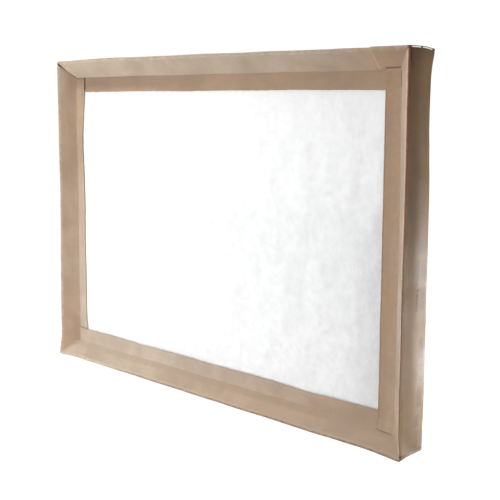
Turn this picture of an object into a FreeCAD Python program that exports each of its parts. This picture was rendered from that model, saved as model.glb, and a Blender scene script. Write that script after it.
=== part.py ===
# Disposable panel air filter: a polyester pad held in a frame that is folded from one strip of board.
# The filter stands on its bottom wall and faces -Y: X runs along the width and Z goes up.
# The origin is in the middle of the face that it stands on.
import FreeCAD
import Part
import os
import Sketcher

SIZES = [
    ("frame_width", 750.0, "outside width of the frame"),
    ("frame_height", 504.0, "outside height of the frame"),
    ("frame_depth", 49.0, "from the front rim to the back face"),
    ("board_thickness", 0.8, "thickness of the board"),
    ("fold_radius", 1.6, "outside radius of the rim and back folds"),
    ("slope_angle", 41.5, "lean of the slope behind the rim, from the plane of the front"),
    ("recess_depth", 22.0, "from the rim to the face of the deepest flange, the top one"),
    ("flange_width", 24.5, "width of the flange that lies on the pad"),
    ("back_flange_width", 46.0, "width of the back flange, from the outer face of its wall"),
    ("lap_gap", 0.15, "air between two flanges that lap"),
    ("end_gap", 1.2, "air between a flange's square end and the slope that it runs up to"),
    ("mitre_gap", 0.35, "cut back of each mitred edge from the corner's diagonal"),
    ("tab_length", 66.0, "length of the glue tab at the crease, from the right wall"),
    ("tab_rim_length", 59.0, "length of the glue tab at the rim"),
    ("tab_end_gap", 2.0, "between the glue tab's lower edge and the crease, along the depth"),
    ("tab_back_gap", 1.5, "between the glue tab's back edge and the back face"),
    ("slit_height", 1.2, "height of the perforation under the closing fold"),
    ("slit_front", 5.5, "start of the perforation, from the rim"),
    ("slit_length", 38.0, "length of the perforation over all"),
    ("slit_bridge", 3.5, "uncut board in the middle of the perforation"),
    ("pad_clearance", 0.3, "air between the pad and the board"),
    ("pad_corner_radius", 6.0, "rounding of the pad's four upright edges"),
    ("crown_height", 1.6, "how far the pad swells into the front opening"),
    ("crown_margin", 3.0, "flat margin of the pad inside the front opening"),
    ("crown_taper", 55.0, "lean of the swelling's edge"),
]

doc = FreeCAD.newDocument("panel_air_filter")


def make_sheet():
    sheet = doc.addObject("Spreadsheet::Sheet", "sizes")
    for row, (alias, size, meaning) in enumerate(SIZES, start=1):
        sheet.set("A%d" % row, meaning)
        sheet.set("B%d" % row, str(size))
        sheet.setAlias("B%d" % row, alias)
    doc.recompute()


def size(alias):
    return "sizes." + alias


# Expressions that several pieces share, built from the sheet's names.
DEPTH = size("frame_depth")
BOARD = size("board_thickness")
FOLD = size("fold_radius")
LEAN = "(%s * 1 deg)" % size("slope_angle")
SLOPE_START_INSET = "(%s * (1 + sin(%s)))" % (FOLD, LEAN)
SLOPE_START_DEPTH = "(%s * (1 - cos(%s)))" % (FOLD, LEAN)
LAP_STEP = "(%s + %s)" % (BOARD, size("lap_gap"))


def slope_inset(depth):
    """How far the slope's front face stands in from the outer face, at a depth behind the rim."""
    return "(%s + (%s - %s) / tan(%s))" % (SLOPE_START_INSET, depth, SLOPE_START_DEPTH, LEAN)


def flange_depth(laps):
    """Depth of a flange's front face: each flange lapped over the one before is one step nearer."""
    return "(%s - %d * %s)" % (size("recess_depth"), laps, LAP_STEP)


def origin_plane(body, role):
    for feature in body.Origin.OriginFeatures:
        if feature.Role == role:
            return feature
    raise ValueError("no plane " + role)


def new_sketch(body, name, role, offset):
    """A sketch parallel to one of the body's own planes, at an offset along the plane's normal."""
    sketch = body.newObject("Sketcher::SketchObject", name)
    sketch.AttachmentSupport = (origin_plane(body, role), "")
    sketch.MapMode = "FlatFace"
    sketch.setExpression("AttachmentOffset.Base.z", offset)
    return sketch


def bind(sketch, constraint, expression):
    index = sketch.addConstraint(constraint)
    sketch.setExpression("Constraints[%d]" % index, expression)


def draw_outline(sketch, corners):
    """Draw one closed outline. A corner is (x, y), or (x, y, cx, cy) where a round fold
    about the centre (cx, cy) leads on to the next corner. All values are expressions."""
    points = []
    for corner in corners:
        x_now = float(sketch.evalExpression(corner[0]))
        y_now = float(sketch.evalExpression(corner[1]))
        points.append(FreeCAD.Vector(x_now, y_now, 0))
    edges = []
    for index, corner in enumerate(corners):
        start = points[index]
        finish = points[(index + 1) % len(corners)]
        if len(corner) == 2:
            edge = sketch.addGeometry(Part.LineSegment(start, finish))
            edges.append((edge, 1, 2))
            continue
        centre_x = float(sketch.evalExpression(corner[2]))
        centre_y = float(sketch.evalExpression(corner[3]))
        centre = FreeCAD.Vector(centre_x, centre_y, 0)
        radius = (start - centre).Length
        outward = (start - centre) + (finish - centre)
        outward.normalize()
        edge = sketch.addGeometry(Part.Arc(start, centre + outward * radius, finish))
        turns_left = (start - centre).cross(finish - centre).z > 0
        edges.append((edge, 1, 2) if turns_left else (edge, 2, 1))
        reach = "sqrt((%s - %s)^2 + (%s - %s)^2)" % (corner[0], corner[2], corner[1], corner[3])
        bind(sketch, Sketcher.Constraint("Radius", edge, radius), reach)
    for index, (edge, first, last) in enumerate(edges):
        next_edge, next_first, next_last = edges[(index + 1) % len(edges)]
        sketch.addConstraint(Sketcher.Constraint("Coincident", edge, last, next_edge, next_first))
        point = points[index]
        bind(sketch, Sketcher.Constraint("DistanceX", -1, 1, edge, first, point.x), corners[index][0])
        bind(sketch, Sketcher.Constraint("DistanceY", -1, 1, edge, first, point.y), corners[index][1])


def rectangle(left, right, low, high):
    return [(left, low), (right, low), (right, high), (left, high)]


def add_pad(body, name, sketch, length):
    pad = body.newObject("PartDesign::Pad", name)
    pad.Profile = sketch
    pad.setExpression("Length", length)
    doc.recompute()
    return pad


def add_pocket_through(body, name, sketch):
    """Cut from the sketch's plane, which lies in front of the filter, right through to the back."""
    pocket = body.newObject("PartDesign::Pocket", name)
    pocket.Profile = sketch
    pocket.Type = "ThroughAll"
    doc.recompute()
    return pocket


def set_placement(body, turn, side_x, side_z):
    """Turn a body about Y and move its outer wall to its side of the frame."""
    body.Placement = FreeCAD.Placement(FreeCAD.Vector(), FreeCAD.Rotation(FreeCAD.Vector(0, 1, 0), turn))
    body.setExpression("Placement.Base.x", side_x)
    body.setExpression("Placement.Base.y", "-%s / 2" % DEPTH)
    body.setExpression("Placement.Base.z", side_z)


# One side of the frame, in its own frame: X along the side, Y the depth behind the rim,
# and Z the inset from the outer face of the wall.


def side_section(laps):
    """Section of the folded board, as (depth, inset): back flange, wall, rim, slope and flange."""
    crease_depth = flange_depth(laps)
    crease_inset = slope_inset(crease_depth)
    flange_end = "(%s + %s)" % (crease_inset, size("flange_width"))
    crease_back = "(%s - %s * tan(%s / 2))" % (crease_inset, BOARD, LEAN)
    inner = "(%s - %s)" % (FOLD, BOARD)
    inner_start_inset = "(%s + %s * sin(%s))" % (FOLD, inner, LEAN)
    inner_start_depth = "(%s - %s * cos(%s))" % (FOLD, inner, LEAN)
    back_fold = "(%s - %s)" % (DEPTH, FOLD)
    return [
        (DEPTH, size("back_flange_width")),
        (DEPTH, FOLD, back_fold, FOLD),
        (back_fold, "0"),
        (FOLD, "0", FOLD, FOLD),
        (SLOPE_START_DEPTH, SLOPE_START_INSET),
        (crease_depth, crease_inset),
        (crease_depth, flange_end),
        ("(%s + %s)" % (crease_depth, BOARD), flange_end),
        ("(%s + %s)" % (crease_depth, BOARD), crease_back),
        (inner_start_depth, inner_start_inset, FOLD, FOLD),
        (FOLD, BOARD),
        (back_fold, BOARD, back_fold, FOLD),
        ("(%s - %s)" % (DEPTH, BOARD), FOLD),
        ("(%s - %s)" % (DEPTH, BOARD), size("back_flange_width")),
    ]


def mitre_outline(length, end):
    """What a 45 degree mitre takes off one end (-1 or 1), with the cut edge a little short."""
    edge = "%d * %s / 2" % (end, length)
    reach = "(%s + %s)" % (size("back_flange_width"), size("frame_depth"))
    back = "(%d * %s)" % (end, size("mitre_gap"))
    return [
        ("%s + %d * %s" % (edge, end, DEPTH), "-%s" % DEPTH),
        ("%s - %d * %s" % (edge, end, FOLD), FOLD),
        ("%s - %d * %s - %s" % (edge, end, FOLD, back), FOLD),
        ("%s - %d * %s - %s" % (edge, end, reach, back), reach),
        ("%s + %d * %s" % (edge, end, DEPTH), reach),
    ]


def make_side(name, length, laps, square_ends, turn, side_x, side_z):
    body = doc.addObject("PartDesign::Body", name)
    doc.recompute()
    section = new_sketch(body, name + "_section", "YZ_Plane", "-%s / 2" % length)
    draw_outline(section, side_section(laps))
    add_pad(body, name + "_strip", section, length)
    mitres = new_sketch(body, name + "_mitres", "XZ_Plane", DEPTH)
    draw_outline(mitres, mitre_outline(length, -1))
    draw_outline(mitres, mitre_outline(length, 1))
    add_pocket_through(body, name + "_mitre_cut", mitres)
    crease_depth = flange_depth(laps)
    crease_inset = slope_inset(crease_depth)
    flange_end = "(%s + %s)" % (crease_inset, size("flange_width"))
    flange_back = "(%s + %s)" % (crease_depth, BOARD)
    stop = "(%s + %s)" % (slope_inset(flange_back), size("end_gap"))
    for end in square_ends:
        lap = new_sketch(body, "%s_lap_%s" % (name, "start" if end < 0 else "finish"),
                         "XZ_Plane", "-" + flange_back)
        outer = "%d * (%s / 2 - %s)" % (end, length, stop)
        inner = "%d * (%s / 2 - %s)" % (end, length, flange_end)
        low_inset = "(%s + %s)" % (crease_inset, size("mitre_gap"))
        draw_outline(lap, rectangle(outer, inner, low_inset, flange_end))
        add_pad(body, lap.Name + "_plate", lap, BOARD)
    set_placement(body, turn, side_x, side_z)
    return body


def make_tab():
    """The right wall's glue tab, folded over the top wall, round the rim and down the top slope."""
    body = doc.addObject("PartDesign::Body", "glue_tab")
    doc.recompute()
    start = "-%s / 2" % size("frame_width")
    section = new_sketch(body, "tab_section", "YZ_Plane", start)
    outer = "(%s + %s)" % (FOLD, BOARD)
    end_depth = "(%s - %s)" % (size("recess_depth"), size("tab_end_gap"))
    outer_end_depth = "(%s - %s * cos(%s))" % (end_depth, BOARD, LEAN)
    outer_end_inset = "(%s + %s * sin(%s))" % (slope_inset(end_depth), BOARD, LEAN)
    back_end = "(%s - %s)" % (DEPTH, size("tab_back_gap"))
    draw_outline(section, [
        (back_end, "0"),
        (back_end, "-%s" % BOARD),
        (FOLD, "-%s" % BOARD, FOLD, FOLD),
        ("(%s - %s * cos(%s))" % (FOLD, outer, LEAN), "(%s + %s * sin(%s))" % (FOLD, outer, LEAN)),
        (outer_end_depth, outer_end_inset),
        (end_depth, slope_inset(end_depth)),
        (SLOPE_START_DEPTH, SLOPE_START_INSET, FOLD, FOLD),
        (FOLD, "0"),
    ])
    add_pad(body, "tab_strip", section, size("tab_length"))
    cuts = new_sketch(body, "tab_cuts", "XZ_Plane", DEPTH)
    draw_outline(cuts, mitre_outline(size("frame_width"), -1))
    crease = slope_inset(size("recess_depth"))
    rim_end = "(%s + %s)" % (start, size("tab_rim_length"))
    low_end = "(%s + %s)" % (start, size("tab_length"))
    clear_end = "(%s + %s)" % (low_end, BOARD)
    bow = "(%s - %s)" % (size("tab_length"), size("tab_rim_length"))
    bow_radius = "((%s^2 + %s^2) / (2 * %s))" % (crease, bow, bow)
    draw_outline(cuts, [
        (rim_end, "0", "(%s + %s)" % (rim_end, bow_radius), "0"),
        (low_end, crease),
        (clear_end, crease),
        (clear_end, "-%s" % DEPTH),
        (rim_end, "-%s" % DEPTH),
    ])
    add_pocket_through(body, "tab_trim", cuts)
    set_placement(body, 180, "0", size("frame_height"))
    return body


def make_slit(name, start):
    """One half of the perforation at the top of the right wall, under the closing fold."""
    half = "((%s - %s) / 2)" % (size("slit_length"), size("slit_bridge"))
    slit = doc.addObject("Part::Box", name)
    slit.setExpression("Length", "2 * %s" % BOARD)
    slit.setExpression("Width", half)
    slit.setExpression("Height", size("slit_height"))
    slit.setExpression("Placement.Base.x", "%s / 2 - %s" % (size("frame_width"), BOARD))
    slit.setExpression("Placement.Base.y", "%s + %s - %s / 2" % (size("slit_front"), start, DEPTH))
    slit.setExpression("Placement.Base.z", "%s - %s" % (size("frame_height"), size("slit_height")))
    return slit


def make_board_frame():
    """The strip is wrapped round the pad: top, left over top, bottom over left, right over both."""
    width = size("frame_width")
    height = size("frame_height")
    sides = [
        make_side("top_side", width, 0, (), 180, "0", height),
        make_side("left_side", height, 1, (-1,), 90, "-%s / 2" % width, "%s / 2" % height),
        make_side("bottom_side", width, 2, (-1,), 0, "0", "0"),
        make_side("right_side", height, 3, (-1, 1), -90, "%s / 2" % width, "%s / 2" % height),
        make_tab(),
    ]
    wrap = doc.addObject("Part::MultiFuse", "folded_strip")
    wrap.Shapes = sides
    second_start = "((%s + %s) / 2)" % (size("slit_length"), size("slit_bridge"))
    slits = doc.addObject("Part::MultiFuse", "perforation")
    slits.Shapes = [make_slit("slit_front_half", "0"), make_slit("slit_back_half", second_start)]
    frame = doc.addObject("Part::Cut", "board_frame")
    frame.Base = wrap
    frame.Tool = slits
    frame.Label = "board_frame"
    return frame


def make_filter_pad():
    """The polyester pad fills the channel between the flanges and swells a little at the front."""
    body = doc.addObject("PartDesign::Body", "filter_pad")
    doc.recompute()
    clearance = size("pad_clearance")
    back = "(%s - %s - %s)" % (DEPTH, BOARD, clearance)
    front = "(%s + %s + %s)" % (size("recess_depth"), BOARD, clearance)
    side_x = "(%s / 2 - %s - %s)" % (size("frame_width"), BOARD, clearance)
    low = "(%s + %s)" % (BOARD, clearance)
    high = "(%s - %s - %s)" % (size("frame_height"), BOARD, clearance)
    outline = new_sketch(body, "pad_outline", "XZ_Plane", "-" + back)
    draw_outline(outline, rectangle("-" + side_x, side_x, low, high))
    block = add_pad(body, "pad_block", outline, "%s - %s" % (back, front))
    corners = body.newObject("PartDesign::Fillet", "pad_corners")
    upright = []
    for number, edge in enumerate(block.Shape.Edges, start=1):
        ends = edge.Vertexes[-1].Point - edge.Vertexes[0].Point
        if abs(ends.y) > edge.Length / 2:
            upright.append("Edge%d" % number)
    corners.Base = (block, upright)
    corners.setExpression("Radius", size("pad_corner_radius"))
    doc.recompute()
    inset = "(%s + %s + %s)" % (slope_inset(size("recess_depth")), size("flange_width"),
                                size("crown_margin"))
    crown_x = "(%s / 2 - %s)" % (size("frame_width"), inset)
    field = new_sketch(body, "crown_outline", "XZ_Plane", "-" + front)
    draw_outline(field, rectangle("-" + crown_x, crown_x, inset, "(%s - %s)" % (size("frame_height"), inset)))
    crown = body.newObject("PartDesign::Pad", "pad_crown")
    crown.Profile = field
    crown.setExpression("Length", size("crown_height"))
    crown.setExpression("TaperAngle", "-%s" % size("crown_taper"))
    doc.recompute()
    body.Label = "filter_pad"
    body.setExpression("Placement.Base.y", "-%s / 2" % DEPTH)
    return body


def check_document():
    for item in doc.Objects:
        if "Invalid" in item.State or "Error" in item.State:
            raise RuntimeError("%s failed: %s" % (item.Name, item.State))


def write_part(item, solids):
    shape = item.Shape
    if shape.isNull() or not shape.isValid():
        raise RuntimeError(item.Label + " has no valid shape")
    if len(shape.Solids) != solids:
        raise RuntimeError("%s has %d solids" % (item.Label, len(shape.Solids)))
    shape.exportStep("parts/%s.step" % item.Label)
    box = shape.BoundBox
    print(item.Label, "volume %.0f" % shape.Volume, "faces", len(shape.Faces),
          "x %.2f %.2f y %.2f %.2f z %.2f %.2f" % (box.XMin, box.XMax, box.YMin, box.YMax, box.ZMin, box.ZMax))


make_sheet()
board_frame = make_board_frame()
filter_pad = make_filter_pad()
doc.recompute()
check_document()
os.makedirs("parts", exist_ok=True)
write_part(board_frame, 1)
write_part(filter_pad, 1)
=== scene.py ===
# %% [markdown]
# A disposable panel air filter stands on its long bottom wall. It has two pieces: a frame, folded from one
# strip of brown board, and a white polyester pad that the frame holds. The construction is already settled,
# so this file loads it as a fixed frame and only dresses it.

# %% Load the fixed frame
import math

import bmesh
import bpy
from mathutils import Matrix, Vector, noise


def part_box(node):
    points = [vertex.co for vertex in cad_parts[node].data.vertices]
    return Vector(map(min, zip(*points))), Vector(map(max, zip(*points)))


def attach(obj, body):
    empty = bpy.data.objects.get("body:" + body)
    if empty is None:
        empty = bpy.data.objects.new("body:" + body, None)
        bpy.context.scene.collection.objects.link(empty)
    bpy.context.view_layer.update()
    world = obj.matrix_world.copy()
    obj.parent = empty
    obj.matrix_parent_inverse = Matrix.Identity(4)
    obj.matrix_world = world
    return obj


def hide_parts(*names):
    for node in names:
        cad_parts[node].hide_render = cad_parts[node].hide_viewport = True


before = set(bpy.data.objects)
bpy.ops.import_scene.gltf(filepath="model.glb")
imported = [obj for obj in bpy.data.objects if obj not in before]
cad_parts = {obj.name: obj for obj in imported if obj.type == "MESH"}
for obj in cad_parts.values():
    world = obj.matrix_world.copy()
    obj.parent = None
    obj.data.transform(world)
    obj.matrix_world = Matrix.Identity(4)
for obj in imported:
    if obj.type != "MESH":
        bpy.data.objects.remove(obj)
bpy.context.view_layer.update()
MM = 0.001


def in_mm(vector):
    return [round(value / MM, 1) for value in vector]


# %% [markdown]
# The camera comes next, so that every later look is taken from the photograph's own angle. Its place
# was worked out from the filter's corners: a little above the middle, to the right of the front, with
# a lens that is longer than normal. The turn is written as the three angles that a tripod head has.

# %% Camera
CAMERA_PLACE = Vector((1.15094, -1.00804, 0.43511))
CAMERA_TURN = 0.81608
CAMERA_TILT = -0.13926
CAMERA_ROLL = 0.00653
LENS = 74.78

camera = bpy.data.objects.new("camera", bpy.data.cameras.new("camera"))
bpy.context.scene.collection.objects.link(camera)
camera.data.lens = LENS
camera.data.sensor_width = 36.0
camera.data.clip_start = 0.05
camera.matrix_world = (
    Matrix.Translation(CAMERA_PLACE)
    @ Matrix.Rotation(CAMERA_TURN, 4, "Z")
    @ Matrix.Rotation(math.pi / 2 + CAMERA_TILT, 4, "X")
    @ Matrix.Rotation(CAMERA_ROLL, 4, "Z")
)
bpy.context.scene.camera = camera

# %% [markdown]
# The board of the frame is one strip. Along its length it is scored five times, so that it folds
# into a back flange, a wall, a slope that leans in behind the rim, and a narrow flange on the pad.
# Across its length it is notched at each corner and wrapped round the pad: top, left, bottom, right,
# and last a glue tab that closes the ring at the top right. The overall size comes from the loaded
# frame. The board's own sizes are the maker's, and are written here once.

# %% Sizes of the folded board
frame_low, frame_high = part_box("board_frame")
BOARD = 0.8 * MM
DEPTH = 49.0 * MM
WIDTH = frame_high.x - frame_low.x
HEIGHT = frame_high.z - BOARD
BACK = frame_high.y
FRONT = BACK - DEPTH
FOLD = 1.6 * MM
LEAN = math.radians(41.5)
RECESS = 22.0 * MM
FLANGE = 24.5 * MM
BACK_FLANGE = 46.0 * MM
LAP_STEP = 0.95 * MM
END_GAP = 1.2 * MM
TAB_GAP = 0.1 * MM
TAB_LENGTH = 66.0 * MM
TAB_RIM_LENGTH = 59.0 * MM
TAB_END_GAP = 2.0 * MM
TAB_BACK_GAP = 1.5 * MM
print("frame", in_mm((WIDTH, DEPTH, HEIGHT)), "mm")

# %% [markdown]
# Each side is made flat-on in a frame of its own: X runs along the strip, Y is the depth behind the
# rim and Z the inset from the wall's outer face. A profile of five points is extruded along X, and
# its fold lines are bevelled. A bevel of a fold that turns by some angle is as wide as the round
# fold's tangent, so the offset is worked out from the radius. This is how the board is scored and
# folded, and it leaves one clean sheet of four-sided faces that can still be bent by hand.

# %% Fold one side of the strip
ACROSS = 6.5 * MM
ALONG = 5.0 * MM
TINY = 0.01 * MM
RIM_TURN = math.pi / 2 + LEAN


def slope_inset(depth, fold, rim_depth):
    """How far the slope's front face stands in from the wall, at a depth behind the rim."""
    start_inset = fold * (1 + math.sin(LEAN))
    start_depth = rim_depth + fold * (1 - math.cos(LEAN))
    return start_inset + (depth - start_depth) / math.tan(LEAN)


def is_long(edge):
    return abs(edge.verts[0].co.x - edge.verts[1].co.x) > TINY


def round_fold(bm, depth, inset, radius, turn, segments):
    """Bevel the long edge that lies at a depth and an inset."""
    found = [e for e in bm.edges if is_long(e)
             and abs(e.verts[0].co.y - depth) < TINY and abs(e.verts[0].co.z - inset) < TINY]
    bmesh.ops.bevel(bm, geom=found, offset=radius * math.tan(turn / 2), offset_type="OFFSET",
                    affect="EDGES", segments=segments, profile=0.5, material=-1)


def fold_side(start, finish, crease_depth, fold=FOLD, rim_depth=0.0, back_flange=True, flange=True):
    bm = bmesh.new()
    crease_inset = slope_inset(crease_depth, fold, rim_depth)
    rim_corner = crease_depth - crease_inset * math.tan(LEAN)
    profile = [(DEPTH, 0.0), (rim_corner, 0.0), (crease_depth, crease_inset)]
    if back_flange:
        profile.insert(0, (DEPTH, BACK_FLANGE))
    else:
        profile[0] = (DEPTH - TAB_BACK_GAP, 0.0)
    if flange:
        profile.append((crease_depth, crease_inset + FLANGE))
    points = [bm.verts.new((start, depth, inset)) for depth, inset in profile]
    wires = [bm.edges.new(ends) for ends in zip(points, points[1:])]
    for wire in wires:
        bmesh.ops.subdivide_edges(bm, edges=[wire], cuts=round(wire.calc_length() / ACROSS) - 1)
    grown = bmesh.ops.extrude_edge_only(bm, edges=bm.edges[:])["geom"]
    far_end = [item for item in grown if isinstance(item, bmesh.types.BMVert)]
    bmesh.ops.translate(bm, verts=far_end, vec=(finish - start, 0, 0))
    round_fold(bm, rim_corner, 0.0, fold, RIM_TURN, 6)
    if back_flange:
        round_fold(bm, DEPTH, 0.0, FOLD, math.pi / 2, 4)
    if flange:
        round_fold(bm, crease_depth, crease_inset, BOARD, LEAN, 2)
    long_edges = [e for e in bm.edges if is_long(e)]
    bmesh.ops.subdivide_edges(bm, edges=long_edges, cuts=round((finish - start) / ALONG) - 1,
                              use_grid_fill=True)
    wall = max(bm.faces, key=lambda f: f.calc_area() if f.calc_center_median().z < TINY else 0.0)
    if wall.normal.z > 0:
        bmesh.ops.reverse_faces(bm, faces=bm.faces[:])
    return bm, crease_inset


trial, trial_inset = fold_side(-WIDTH / 2, WIDTH / 2, RECESS)
print("a long side has", len(trial.faces), "faces")
print("its crease stands in", round(trial_inset / MM, 1), "mm from the wall")
trial.free()

# %% [markdown]
# The ends are trimmed next. The slope and the back flange meet their neighbours on the corner's
# diagonal, so a slanting plane cuts them there. A flange that laps over its neighbour isn't mitred:
# it runs on, square, up to the neighbour's slope. No slope meets the next one edge to edge either:
# one runs on a little behind the other, or lies over it. So the flange and the slope are cut by
# planes of their own. Cutting with planes keeps a cut edge straight, whatever the faces are.

# %% Trim the ends
def cut_through(bm, belongs, place, normal):
    """Cut the faces that belong, with a plane, and keep both sides."""
    faces = [f for f in bm.faces if belongs(f)]
    edges = {e for f in faces for e in f.edges}
    points = {v for f in faces for v in f.verts}
    bmesh.ops.bisect_plane(bm, geom=[*faces, *edges, *points], dist=TINY / 10,
                           plane_co=place, plane_no=normal)


def cut_off(bm, belongs, place, outward):
    """Cut the faces that belong, with a plane, and delete what lies on its outward side."""
    cut_through(bm, belongs, place, outward)
    side = Vector(outward)
    beyond = [f for f in bm.faces if belongs(f) and (f.calc_center_median() - Vector(place)).dot(side) > 0]
    bmesh.ops.delete(bm, geom=beyond, context="FACES")


def trim_end(bm, corner, end, crease_depth, crease_inset, stop=None, behind=0.0, over=0.0):
    """Trim the end at x = corner, where end is -1 or 1. A square flange stops short of the corner. A
    slope may run on behind its neighbour by a length, or over it by a share of its inset."""
    def is_flange(face):
        centre = face.calc_center_median()
        return abs(centre.y - crease_depth) < TINY and centre.z > crease_inset - BOARD

    def is_slope(face):
        centre = face.calc_center_median()
        return centre.z > 2 * FOLD and centre.y < crease_depth - TINY

    def is_square(face):
        return stop is not None and is_flange(face)

    cut_off(bm, lambda f: not (is_slope(f) or is_square(f)), (corner, 0, 0), (end, 0.0, 1.0))
    cut_off(bm, is_slope, (corner + end * behind, 0, 0), (end, 0.0, 1.0 - over))
    if stop is not None:
        cut_off(bm, is_flange, (corner - end * stop, 0, 0), (end, 0.0, 0.0))


def square_stop(laps, gap):
    """How far from the corner a square flange ends, short of its neighbour's slope by a gap."""
    return slope_inset(RECESS - laps * LAP_STEP + BOARD, FOLD, 0.0) + gap


RIGHT_STOPS = (square_stop(3, -0.4 * MM), square_stop(3, -1.7 * MM))
print("the right flange stops", in_mm(RIGHT_STOPS), "mm short of its corners")

# %% [markdown]
# A pattern that follows the strip needs to know where on the strip it is. So each side writes a UV
# map while it is still in its own frame: U is the distance along the strip in metres, from the end
# that is tucked under the tab, and V is the distance across it from the rim, forward onto the slope
# and flange, and backward, with a minus sign, onto the wall and the back flange. The slopes differ
# a little in width, because the flanges are lapped, so V puts every crease at the same place.

# %% Write the strip's own map
CREASE_ACROSS = 32.0 * MM


def across_strip(place, fold, rim_depth, crease_depth, crease_inset):
    slope_length = math.hypot(crease_depth - rim_depth, crease_inset - fold)
    if place.y > DEPTH - TINY:
        return -(DEPTH + place.z)
    if place.z < fold:
        return rim_depth - place.y
    if place.z > crease_inset + TINY and abs(place.y - crease_depth) < TINY:
        return CREASE_ACROSS + place.z - crease_inset
    return math.hypot(place.y - rim_depth, place.z - fold) * CREASE_ACROSS / slope_length


def write_map(bm, along_start, fold, rim_depth, crease_depth, crease_inset):
    uv = bm.loops.layers.uv.new("strip")
    for face in bm.faces:
        for loop in face.loops:
            place = loop.vert.co
            across = across_strip(place, fold, rim_depth, crease_depth, crease_inset)
            loop[uv].uv = (along_start + place.x, across)


print("on the map every crease lies", round(CREASE_ACROSS / MM, 1), "mm from the rim")

# %% [markdown]
# Board that has been folded by hand is never flat. The editor has proportional editing for this: a
# point is pulled, and what lies near follows less and less. The same thing in code takes a place, a
# move and a reach along each axis. It is used first in each side's own frame, for ends that gape or
# tuck under, and later on the whole frame, for corners that flare and walls that bow.

# %% Pull board out of true
def pull(points, place, move, reach):
    moved = 0
    for point in points:
        away = sum(((point.co[axis] - place[axis]) / reach[axis]) ** 2 for axis in range(3))
        share = math.exp(-away)
        point.co += Vector(move) * share
        moved += share > 0.5
    return moved


def nudge(points, place, move, reach):
    """A pull whose move and reach are given in millimetres."""
    return pull(points, place, Vector(move) * MM, Vector(reach) * MM)


print("a point that lies one reach away moves by", round(math.exp(-1), 2), "of the pull")

# %% [markdown]
# The ends are what makes the corners look hand folded. A slope may lie over its neighbour past the
# diagonal, and the inner edges of the flanges were cut by a worn knife, so they wander. In the editor
# both would be done point by point. Here each is one function that any side can use.

# %% Tools for the ends
half_width = WIDTH / 2
half_height = HEIGHT / 2
FRAY_LENGTH = 9 * MM
FRAY_HEIGHT = 0.4 * MM


def free_points(side):
    """Points that may be bent before the corners are welded."""
    return [point for point in side.verts if point.co.z > 2 * FOLD]


def front_points(side):
    """The free points of the slope and the flange, without those of the back flange."""
    return [point for point in free_points(side) if point.co.y < RECESS + FOLD]


def lay_over(side, corner, end, crease_inset):
    """Lift what lies past the diagonal onto the neighbour's slope."""
    lifted = 0
    for point in front_points(side):
        inset = (corner - point.co.x) * end
        if 2 * FOLD < inset < point.co.z <= crease_inset + TINY:
            depth = (inset - FOLD) * math.tan(LEAN)
            point.co.y = min(point.co.y, depth - BOARD - TAB_GAP)
            lifted += 1
    return lifted


def wander_edge(side, crease_inset, narrower, wavelength, height):
    """Cut the flange narrower, with an inner edge that wanders and frays."""
    for point in side.verts:
        share = (point.co.z - crease_inset) / FLANGE
        if point.co.y < DEPTH - 2 * FOLD and share > 0:
            turn = noise.noise((point.co.x / wavelength, narrower / MM, 0.0)) * height
            fray = noise.noise((point.co.x / FRAY_LENGTH, narrower / MM, 5.0)) * FRAY_HEIGHT
            point.co.z += share ** 2 * (turn + fray - narrower)


print("a frayed edge wanders by up to", round(FRAY_HEIGHT / MM, 1), "mm more")

# %% [markdown]
# At the top left the top slope lies over the left one and stands up from it, with a dark seam below
# its cut edge. At the top right the glue tab stands up at its slanted end, and is pressed down with
# the end below it onto the right slope. At the bottom left the bottom slope laps softly over the
# left one, and towards the right its crease lies further in and the inner edge of its flange dips.

# %% Shape the top and the bottom side
def press_closing_end(side):
    """At the top right the tab and the end below it are pressed down onto the right slope."""
    return nudge(free_points(side), (-half_width + 10 * MM, 8 * MM, 13 * MM), (0, 0.9, 0), (17, 30, 10))


def shape_top(side, crease_inset):
    laid = lay_over(side, half_width, 1, crease_inset)
    wander_edge(side, crease_inset, 1.0 * MM, 120 * MM, 0.6 * MM)
    nudge(free_points(side), (half_width - 17 * MM, 10 * MM, 15 * MM), (0, -1.5, 0.4), (14, 9, 8))
    tab_edge = -half_width + (TAB_LENGTH + TAB_RIM_LENGTH) / 2
    nudge(free_points(side), (tab_edge, 8 * MM, 12 * MM), (0, 0.9, 0.3), (7, 12, 12))
    press_closing_end(side)
    return laid


def shape_bottom(side, crease_inset):
    laid = lay_over(side, -half_width, -1, crease_inset)
    wander_edge(side, crease_inset, 2.3 * MM, 75 * MM, 1.5 * MM)
    depth = 20 * MM
    inner_edge = crease_inset + FLANGE
    nudge(side.verts, (-60 * MM, depth, inner_edge), (0, -1.0, 0), (60, 6, 8))
    nudge(free_points(side), (half_width - 45 * MM, depth, crease_inset), (0, 0, 3.0), (90, 14, 10))
    nudge(side.verts, (half_width - 60 * MM, depth, inner_edge), (0, 0, 0.9), (90, 8, 14))
    nudge(side.verts, (half_width - 170 * MM, depth, inner_edge), (0, 0, -1.6), (55, 8, 12))
    nudge(side.verts, (-half_width + 50 * MM, depth, inner_edge), (0, -0.7, 0), (30, 6, 14))
    return laid


print("the tab reaches", in_mm((TAB_RIM_LENGTH, TAB_LENGTH)), "mm from the corner, at rim and crease")

# %% [markdown]
# The left flange comes out narrower than the rest. Its inner edge is broad near both ends and narrow
# between them, and its crease leans outward in the upper half. The right flange is the last to be
# folded, so both its ends ride up on the slopes they meet. The right wall was perforated just under
# the closing fold, and the board has torn there in two slits. Each slit is cut into the sheet as a
# row of faces, which later get the material of torn board.

# %% Shape the left and the right side
SLIT_HEIGHT = 1.2 * MM
SLITS = [(5.5 * MM, 22.75 * MM), (26.25 * MM, 43.5 * MM)]
DOUBLE_FOLD = [4.2 * MM, 5.2 * MM, 6.2 * MM, 7.4 * MM]
SLOPE_SHARE = 6 * MM
TORN = 2


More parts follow.
